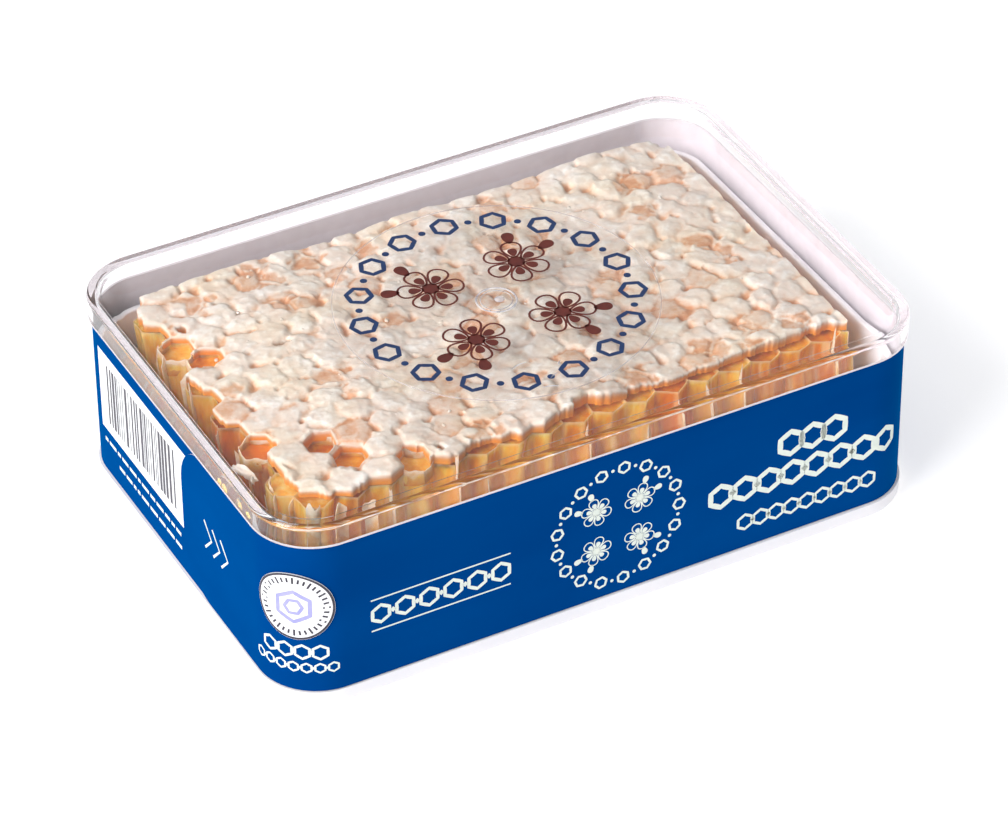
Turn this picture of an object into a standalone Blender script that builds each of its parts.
"""A shut retail box of cut honeycomb.

A white tray carries a slab of capped comb.  A clear lid slips over the tray's spigot, and a printed
label, wrapped once round both, holds it shut.  Metres, +Z up: X is the long side, -Y the label's
front, -X the side where the label's end laps over its start.  The origin is the middle of the base.
"""

import math
import random

import bmesh
import bpy

MM = 0.001

# ---- driving dimensions of the box --------------------------------------------------------------
LENGTH = 102.0 * MM            # over the label, along X
WIDTH = 69.3 * MM              # over the label, along Y
HEIGHT = 31.8 * MM             # base to the top of the lid's rim
CORNER_RADIUS = 9.0 * MM       # upright corners, over the label
CORNER_STEPS = 8               # facets of a quarter turn
WALL = 1.0 * MM                # moulded wall of the tray and of the lid
FIT_GAP = 0.3 * MM             # between pieces that fit together

# ---- label: a strip whose end laps over its start on the -X side --------------------------------
LABEL_THICKNESS = 0.15 * MM
LABEL_LAP_GAP = 0.05 * MM      # between the two layers of the lap
LABEL_WALL_GAP = 0.25 * MM     # between the label and the wall behind it
LABEL_BOTTOM = 2.7 * MM
LABEL_TOP = 27.9 * MM
LABEL_START = 4.0 * MM         # hidden start, past the front end of the -X side's flat
TAB_REACH = 23.6 * MM          # how far the lapping end comes along the -X side's flat
TAB_RADIUS = 8.0 * MM          # its two rounded corners
TAB_STEPS = 6

LABEL_EDGE_GAP = 0.2 * MM      # between the label's edges and the bands above and below it

# Insets are measured inward from the outer face of the label.
INNER_LAYER_INSET = LABEL_THICKNESS + LABEL_LAP_GAP
WALL_INSET = INNER_LAYER_INSET + LABEL_THICKNESS + LABEL_WALL_GAP

# Distances along the box's plan, clockwise from the front end of the -X side's flat.
FLAT_SIDE = WIDTH - 2 * CORNER_RADIUS
FLAT_FRONT = LENGTH - 2 * CORNER_RADIUS
QUARTER_TURN = CORNER_RADIUS * math.pi / 2
WHOLE_TURN = 2 * (FLAT_SIDE + FLAT_FRONT) + 4 * QUARTER_TURN

# ---- tray ---------------------------------------------------------------------------------------
BASE_PROUD = 0.15 * MM         # the strip below the label stands out from it
BASE_FILLET = 0.8 * MM
FOOT_WIDTH = 4.0 * MM          # flat ring that the box stands on
FOOT_SLOPE = 0.6 * MM          # run of the slope up from it
FOOT_DEPTH = 0.4 * MM          # hollow of the underside inside that ring
BASE_STRIP_TOP = LABEL_BOTTOM - LABEL_EDGE_GAP
FLOOR_TOP = 1.5 * MM
FLOOR_FILLET = 1.0 * MM
LEDGE_HEIGHT = 13.7 * MM       # ledge that the lid's skirt comes down to
TRAY_RIM = 24.2 * MM           # top of the spigot inside the lid
SPIGOT_INSET = WALL_INSET + WALL + FIT_GAP
CAVITY_INSET = SPIGOT_INSET + WALL
RIM_ROUNDING = 0.3 * MM

# ---- lid ----------------------------------------------------------------------------------------
BAND_PROUD = 0.35 * MM         # the clear band above the label stands out from it
BAND_BOTTOM = LABEL_TOP + LABEL_EDGE_GAP
BAND_FILLET = 0.6 * MM
RIM_INNER_INSET = 1.7 * MM     # inner edge of the raised rim
RIM_STEP_INSET = 1.0 * MM      # fine step along the middle of the rim
RIM_STEP = 0.15 * MM
PANEL_TOP = 31.2 * MM
PANEL_THICKNESS = 1.2 * MM
PANEL_FILLET = 0.3 * MM

# ---- seal and film stuck on the outside ---------------------------------------------------------
STICKER_THICKNESS = 0.12 * MM
STICKER_GAP = 0.1 * MM
SEAL_RADIUS = 5.7 * MM
SEAL_HEIGHT = 17.6 * MM        # its centre, above the base
SEAL_STEPS = 9                 # columns from its centre to its edge
SEAL_END = 86                  # degrees round the seal where its last column stands
FILM_RADIUS = 23.5 * MM
FILM_SIDES = 64

# ---- comb ---------------------------------------------------------------------------------------
CELL = 5.05 * MM               # across the flats of a cell
ROW = CELL * math.sqrt(3) / 2  # from one row of cells to the next
FIRST_CELL_X = -39.5 * MM      # leftmost cell centre of the even rows
FIRST_CELL_Y = -21.4 * MM      # centres of the front row
ROWS = 13
COLUMNS = 18
ODD_ROW_SHIFT = -0.5 * CELL    # odd rows start half a cell to the left
CUT_RIGHT = 44.8 * MM          # knife cuts beside the right and back walls
CUT_BACK = 30.8 * MM
CUT_CORNER = 2.2 * MM          # corner cut off between them, to fit the tray's rounded corner
COMB_BOTTOM = FLOOR_TOP + FIT_GAP
CELLS_TOP = 25.0 * MM          # honey-filled cells, under their cappings
CAPPING_BOTTOM = CELLS_TOP + FIT_GAP
CAPPING_TOP = 26.0 * MM        # mean height of the seams between the cappings
CAP_DOME = 0.75 * MM           # rise of a capping over its seams
CAP_UNEVENNESS = 0.35 * MM
SEAM_UNEVENNESS = 0.25 * MM
CORNER_WANDER = 0.22 * MM      # how far the cells' corners stray from a true honeycomb
LONG_SWELL = 0.3 * MM          # slow rise and fall of the whole top along X
LONG_SWELL_LENGTH = 30.0 * MM
CROSS_SWELL = 0.2 * MM         # and across it, slantwise
CROSS_SWELL_LENGTH = 21.0 * MM
CELL_WALL = 0.35 * MM          # wax left standing round an open cell
OPEN_CELL_DEPTH = 2.6 * MM     # down to the honey in an open cell
OPEN_CELL_TAPER = 0.97         # width of the honey's surface, as a share of the cell's mouth
CAP_SHOULDER = 0.72            # where a capping's flat top begins, as a share of the cell
SEED = 11

# Open cells, as (row, column) from the front left: cappings that are torn away.
OPEN_CELLS = {(2, 1), (1, 2), (0, 3), (0, 0), (1, 0), (3, 0), (8, 0), (9, 0)}


# ---- materials ----------------------------------------------------------------------------------

def make_material(name, color, roughness, transmission=0.0, alpha=1.0):
    """A Principled material of one colour."""
    material = bpy.data.materials.new(name)
    material.use_nodes = True
    shader = material.node_tree.nodes["Principled BSDF"]
    shader.inputs["Base Color"].default_value = (*color, 1.0)
    shader.inputs["Roughness"].default_value = roughness
    shader.inputs["Metallic"].default_value = 0.0
    shader.inputs["Transmission Weight"].default_value = transmission
    shader.inputs["Alpha"].default_value = alpha
    return material


# ---- shared geometry ----------------------------------------------------------------------------

def finish(name, mesh_data, material, sharp_degrees=30.0):
    """Turn a bmesh into an object with its faces out, smooth but for its sharp edges."""
    bmesh.ops.recalc_face_normals(mesh_data, faces=mesh_data.faces[:])
    mesh = bpy.data.meshes.new(name)
    mesh_data.to_mesh(mesh)
    mesh_data.free()
    mesh.shade_smooth()
    mesh.set_sharp_from_angle(angle=math.radians(sharp_degrees))
    mesh.materials.append(material)
    part = bpy.data.objects.new(name, mesh)
    bpy.context.collection.objects.link(part)
    return part


def rounded_rectangle(inset):
    """Points of the box's plan, anticlockwise, moved inward by inset."""
    half_x = LENGTH / 2 - inset
    half_y = WIDTH / 2 - inset
    radius = CORNER_RADIUS - inset
    points = []
    for corner in range(4):
        centre_x = (half_x - radius) * (1 if corner in (0, 3) else -1)
        centre_y = (half_y - radius) * (1 if corner in (0, 1) else -1)
        for step in range(CORNER_STEPS + 1):
            angle = math.radians(90) * (corner + step / CORNER_STEPS)
            points.append((centre_x + radius * math.cos(angle), centre_y + radius * math.sin(angle)))
    return points


def loft(name, profile, material):
    """A closed body from rounded rectangles (inset, height), with its first and last filled."""
    body = bmesh.new()
    rings = []
    for inset, height in profile:
        rings.append([body.verts.new((x, y, height)) for x, y in rounded_rectangle(inset)])
    for lower, upper in zip(rings, rings[1:]):
        for index in range(len(lower)):
            after = (index + 1) % len(lower)
            body.faces.new((lower[index], lower[after], upper[after], upper[index]))
    body.faces.new(rings[0])
    body.faces.new(rings[-1])
    return finish(name, body, material)


def fillet(inset, height, radius, start_degrees, end_degrees, steps=3):
    """(inset, height) points of an arc in the profile plane, about a centre given the same way."""
    points = []
    for step in range(steps + 1):
        angle = math.radians(start_degrees + (end_degrees - start_degrees) * step / steps)
        points.append((inset - radius * math.cos(angle), height + radius * math.sin(angle)))
    return points


# ---- tray and lid -------------------------------------------------------------------------------

def make_tray():
    """Open tray: foot ring, base strip, label recess, ledge for the lid, spigot and cavity."""
    profile = [
        (FOOT_WIDTH + FOOT_SLOPE, FOOT_DEPTH),
        (FOOT_WIDTH, 0.0),
    ]
    profile += fillet(BASE_FILLET - BASE_PROUD, BASE_FILLET, BASE_FILLET, -90, 0)
    profile += [
        (-BASE_PROUD, BASE_STRIP_TOP),
        (WALL_INSET, BASE_STRIP_TOP),
        (WALL_INSET, LEDGE_HEIGHT),
        (SPIGOT_INSET, LEDGE_HEIGHT),
        (SPIGOT_INSET, TRAY_RIM - RIM_ROUNDING),
        (SPIGOT_INSET + RIM_ROUNDING, TRAY_RIM),
        (CAVITY_INSET - RIM_ROUNDING, TRAY_RIM),
        (CAVITY_INSET, TRAY_RIM - RIM_ROUNDING),
    ]
    profile += fillet(CAVITY_INSET + FLOOR_FILLET, FLOOR_TOP + FLOOR_FILLET, FLOOR_FILLET, 0, -90)
    return loft("tray", profile, make_material("white_plastic", (0.83, 0.83, 0.85), 0.35))


def make_lid():
    """Clear lid: skirt behind the label, proud band, raised rim with its step, sunk panel."""
    inner_inset = WALL_INSET + WALL
    panel_bottom = PANEL_TOP - PANEL_THICKNESS
    skirt_bottom = LEDGE_HEIGHT + FIT_GAP
    profile = fillet(inner_inset + PANEL_FILLET, panel_bottom - PANEL_FILLET, PANEL_FILLET, 90, 0)
    profile += [
        (inner_inset, skirt_bottom),
        (WALL_INSET, skirt_bottom),
        (WALL_INSET, BAND_BOTTOM),
        (-BAND_PROUD, BAND_BOTTOM),
    ]
    profile += fillet(BAND_FILLET - BAND_PROUD, HEIGHT - BAND_FILLET, BAND_FILLET, 0, 90)
    profile += [
        (RIM_STEP_INSET, HEIGHT),
        (RIM_STEP_INSET + RIM_STEP, HEIGHT - RIM_STEP),
        (RIM_INNER_INSET, HEIGHT - RIM_STEP),
        (RIM_INNER_INSET + RIM_STEP, PANEL_TOP),
    ]
    return loft("lid", profile, make_material("clear_plastic", (0.95, 0.95, 0.96), 0.05, 1.0, 0.3))


# ---- label and seal: thin strips that follow the outside of the box -----------------------------

def outline_at(distance, inset):
    """Point of the plan at a distance along it, clockwise from the front end of the -X flat."""
    half_x = LENGTH / 2 - CORNER_RADIUS
    half_y = WIDTH / 2 - CORNER_RADIUS
    radius = CORNER_RADIUS - inset
    runs = [
        (FLAT_SIDE, (-half_x, -half_y), 180),
        (FLAT_FRONT, (-half_x, half_y), 90),
        (FLAT_SIDE, (half_x, half_y), 0),
        (FLAT_FRONT, (half_x, -half_y), -90),
    ]
    rest = distance % WHOLE_TURN
    for flat, (x, y), degrees in runs:
        angle = math.radians(degrees)
        outward = (math.cos(angle), math.sin(angle))
        forward = (outward[1], -outward[0])
        along = min(rest, flat)
        corner_x = x + forward[0] * along
        corner_y = y + forward[1] * along
        if rest <= flat:
            return corner_x + outward[0] * radius, corner_y + outward[1] * radius
        rest -= flat
        if rest <= QUARTER_TURN:
            angle -= rest / CORNER_RADIUS
            return corner_x + math.cos(angle) * radius, corner_y + math.sin(angle) * radius
        rest -= QUARTER_TURN
    raise ValueError("distance lies outside the plan")


def strip(name, columns, thickness, material):
    """A bent plate from columns (distance, inset of its outer face, bottom, top)."""
    body = bmesh.new()
    rings = []
    for distance, inset, bottom, top in columns:
        outer_x, outer_y = outline_at(distance, inset)
        inner_x, inner_y = outline_at(distance, inset + thickness)
        corners = [
            (outer_x, outer_y, bottom),
            (outer_x, outer_y, top),
            (inner_x, inner_y, top),
            (inner_x, inner_y, bottom),
        ]
        rings.append([body.verts.new(corner) for corner in corners])
    for before, after in zip(rings, rings[1:]):
        for index in range(4):
            following = (index + 1) % 4
            body.faces.new((before[index], before[following], after[following], after[index]))
    body.faces.new(rings[0])
    body.faces.new(rings[-1])
    return finish(name, body, material)


def make_label():
    """The wrap-round label: one strip that laps over its own start and ends in a rounded tab."""
    turns = []
    start = 0.0
    for flat in (FLAT_SIDE, FLAT_FRONT, FLAT_SIDE, FLAT_FRONT):
        start += flat
        turns += [start + QUARTER_TURN * step / CORNER_STEPS for step in range(CORNER_STEPS + 1)]
        start += QUARTER_TURN
    front_start = WHOLE_TURN - QUARTER_TURN - FLAT_FRONT

    def inset_at(distance):
        rise = (distance - front_start) / FLAT_FRONT
        return INNER_LAYER_INSET * (1 - min(max(rise, 0.0), 1.0))

    columns = [(LABEL_START, INNER_LAYER_INSET, LABEL_BOTTOM, LABEL_TOP)]
    columns += [(turn, inset_at(turn), LABEL_BOTTOM, LABEL_TOP) for turn in turns]
    tab_end = WHOLE_TURN + TAB_REACH
    for step in range(TAB_STEPS + 1):
        angle = math.radians(90) * step / TAB_STEPS
        drawn_in = TAB_RADIUS * (1 - math.cos(angle))
        distance = tab_end - TAB_RADIUS * (1 - math.sin(angle))
        columns.append((distance, 0.0, LABEL_BOTTOM + drawn_in, LABEL_TOP - drawn_in))
    return strip("label", columns, LABEL_THICKNESS, make_material("blue_paper", (0.0, 0.06, 0.22), 0.4))


def make_seal():
    """Round paper seal over the upright corner between the front and the -X side."""
    centre = WHOLE_TURN - QUARTER_TURN / 2
    inset = -STICKER_GAP - STICKER_THICKNESS
    columns = []
    for step in range(-SEAL_STEPS, SEAL_STEPS + 1):
        angle = math.radians(SEAL_END) * step / SEAL_STEPS
        reach = SEAL_RADIUS * math.cos(angle)
        bottom = SEAL_HEIGHT - reach
        top = SEAL_HEIGHT + reach
        columns.append((centre + SEAL_RADIUS * math.sin(angle), inset, bottom, top))
    return strip("seal", columns, STICKER_THICKNESS, make_material("white_paper", (0.85, 0.84, 0.86), 0.5))


def make_lid_film():
    """Round clear printed film on the lid's panel."""
    body = bmesh.new()
    bmesh.ops.create_cone(body, cap_ends=True, segments=FILM_SIDES, radius1=FILM_RADIUS,
                          radius2=FILM_RADIUS, depth=STICKER_THICKNESS)
    film = finish("lid_film", body, make_material("clear_film", (0.9, 0.9, 0.92), 0.1, 1.0, 0.3))
    film.location.z = PANEL_TOP + STICKER_GAP + STICKER_THICKNESS / 2
    return film


# ---- comb ---------------------------------------------------------------------------------------

def cell_centre(row, column):
    """Centre of a cell in the plan."""
    shift = ODD_ROW_SHIFT if row % 2 else 0.0
    return FIRST_CELL_X + shift + column * CELL, FIRST_CELL_Y + row * ROW


def swell_at(x, y):
    """Slow rise and fall of the comb's top at a point of the plan."""
    along = math.sin(2 * math.pi * x / LONG_SWELL_LENGTH + 1)
    across = math.cos(2 * math.pi * (y - x / 3) / CROSS_SWELL_LENGTH)
    return LONG_SWELL * along + CROSS_SWELL * across


class CellCorners:
    """The wandering corners that neighbouring cells share."""

    def __init__(self):
        self.random = random.Random(SEED)
        self.places = {}
        self.seams = {}

    def place(self, x, y):
        """Where a corner really is, and how far its seam lies above or below the mean."""
        key = (round(x / MM, 1), round(y / MM, 1))
        if key not in self.places:
            wander_x = self.random.uniform(-CORNER_WANDER, CORNER_WANDER)
            wander_y = self.random.uniform(-CORNER_WANDER, CORNER_WANDER)
            self.places[key] = (x + wander_x, y + wander_y)
            self.seams[key] = self.random.uniform(-SEAM_UNEVENNESS, SEAM_UNEVENNESS)
        return (*self.places[key], self.seams[key])

    def around(self, row, column):
        """The six corners of a cell, anticlockwise."""
        centre_x, centre_y = cell_centre(row, column)
        radius = CELL / math.sqrt(3)
        corners = []
        for side in range(6):
            angle = math.radians(30 + 60 * side)
            corners.append(self.place(centre_x + radius * math.cos(angle),
                                      centre_y + radius * math.sin(angle)))
        return corners


def towards(centre, corners, share):
    """Corners drawn in towards the centre to a share of their distance."""
    return [(centre[0] + (x - centre[0]) * share, centre[1] + (y - centre[1]) * share)
            for x, y, seam in corners]


class Honeycomb:
    """A closed slab of six-sided cells that share their corners."""

    def __init__(self, bottom, corner_height):
        self.body = bmesh.new()
        self.bottom = bottom
        self.corner_height = corner_height
        self.upper = {}
        self.lower = {}

    def corner(self, point, layer):
        """The shared vertex of a cell corner on the top or the bottom."""
        store = self.upper if layer == "top" else self.lower
        key = (point[0], point[1])
        if key not in store:
            height = self.corner_height(point) if layer == "top" else self.bottom
            store[key] = self.body.verts.new((point[0], point[1], height))
        return store[key]

    def add_cell(self, corners, rings):
        """A cell: its base, then rings of six points from its edge to its middle, the last filled."""
        base = [self.corner(point, "bottom") for point in corners]
        self.body.faces.new(base[::-1])
        outer = [self.corner(point, "top") for point in corners]
        for ring, height in rings:
            inner = [self.body.verts.new((x, y, height)) for x, y in ring]
            for side in range(6):
                after = (side + 1) % 6
                self.body.faces.new((outer[side], outer[after], inner[after], inner[side]))
            outer = inner
        self.body.faces.new(outer)

    def close_sides(self):
        """Upright walls wherever a cell has no neighbour."""
        free = [edge for edge in self.body.edges if len(edge.link_faces) == 1]
        below = {self.upper[key]: self.lower[key] for key in self.upper}
        for edge in free:
            first, second = edge.verts
            if first in below and second in below:
                self.body.faces.new((first, second, below[second], below[first]))

    def cut(self, place, direction):
        """Cut the slab straight off at a plane and close the cut."""
        parts = self.body.verts[:] + self.body.edges[:] + self.body.faces[:]
        bmesh.ops.bisect_plane(self.body, geom=parts, dist=1e-7, plane_co=place,
                               plane_no=direction, clear_outer=True)
        rim = [edge for edge in self.body.edges if len(edge.link_faces) == 1]
        bmesh.ops.holes_fill(self.body, edges=rim, sides=0)

    def trim(self):
        """The knife cuts beside the right and back walls, and across the corner between them."""
        self.cut((CUT_RIGHT, 0, 0), (1, 0, 0))
        self.cut((0, CUT_BACK, 0), (0, 1, 0))
        self.cut((CUT_RIGHT - CUT_CORNER, CUT_BACK, 0), (1, 1, 0))


def all_cells():
    """Every cell of the slab as (row, column)."""
    return [(row, column) for row in range(ROWS) for column in range(COLUMNS)]


def make_honey_cells(cell_corners):
    """The slab's honey-filled cells, with pits where their cappings are missing."""
    slab = Honeycomb(COMB_BOTTOM, lambda point: CELLS_TOP)
    for row, column in all_cells():
        centre = cell_centre(row, column)
        corners = cell_corners.around(row, column)
        rings = []
        if (row, column) in OPEN_CELLS:
            inner = 1 - CELL_WALL / (CELL / 2)
            rings.append((towards(centre, corners, inner), CELLS_TOP))
            honey = towards(centre, corners, inner * OPEN_CELL_TAPER)
            rings.append((honey, CELLS_TOP - OPEN_CELL_DEPTH))
        slab.add_cell(corners, rings)
    slab.close_sides()
    slab.trim()
    return finish("honey_cells", slab.body, make_material("honey", (0.62, 0.27, 0.06), 0.25))


def make_wax_cappings(cell_corners):
    """The layer of domed wax cappings over the honey, open where cappings are missing."""
    chance = random.Random(SEED + 1)
    layer = Honeycomb(CAPPING_BOTTOM,
                      lambda point: CAPPING_TOP + point[2] + swell_at(point[0], point[1]))
    for row, column in all_cells():
        lift = chance.uniform(-CAP_UNEVENNESS, CAP_UNEVENNESS)
        if (row, column) in OPEN_CELLS:
            continue
        centre = cell_centre(row, column)
        corners = cell_corners.around(row, column)
        crown = CAPPING_TOP + swell_at(*centre) + CAP_DOME + lift
        shoulder = towards(centre, corners, CAP_SHOULDER)
        layer.add_cell(corners, [(shoulder, crown)])
    layer.close_sides()
    layer.trim()
    return finish("wax_cappings", layer.body, make_material("wax", (0.86, 0.76, 0.62), 0.55))


# ---- build --------------------------------------------------------------------------------------

def clear_scene():
    """Remove whatever the file holds."""
    for existing in list(bpy.data.objects):
        bpy.data.objects.remove(existing, do_unlink=True)


def build():
    """Make every piece and hang them all on one empty."""
    clear_scene()
    cell_corners = CellCorners()
    pieces = [
        make_tray(),
        make_honey_cells(cell_corners),
        make_wax_cappings(cell_corners),
        make_lid(),
        make_label(),
        make_seal(),
        make_lid_film(),
    ]
    box = bpy.data.objects.new("honeycomb_box", None)
    bpy.context.collection.objects.link(box)
    for piece in pieces:
        piece.parent = box


build()
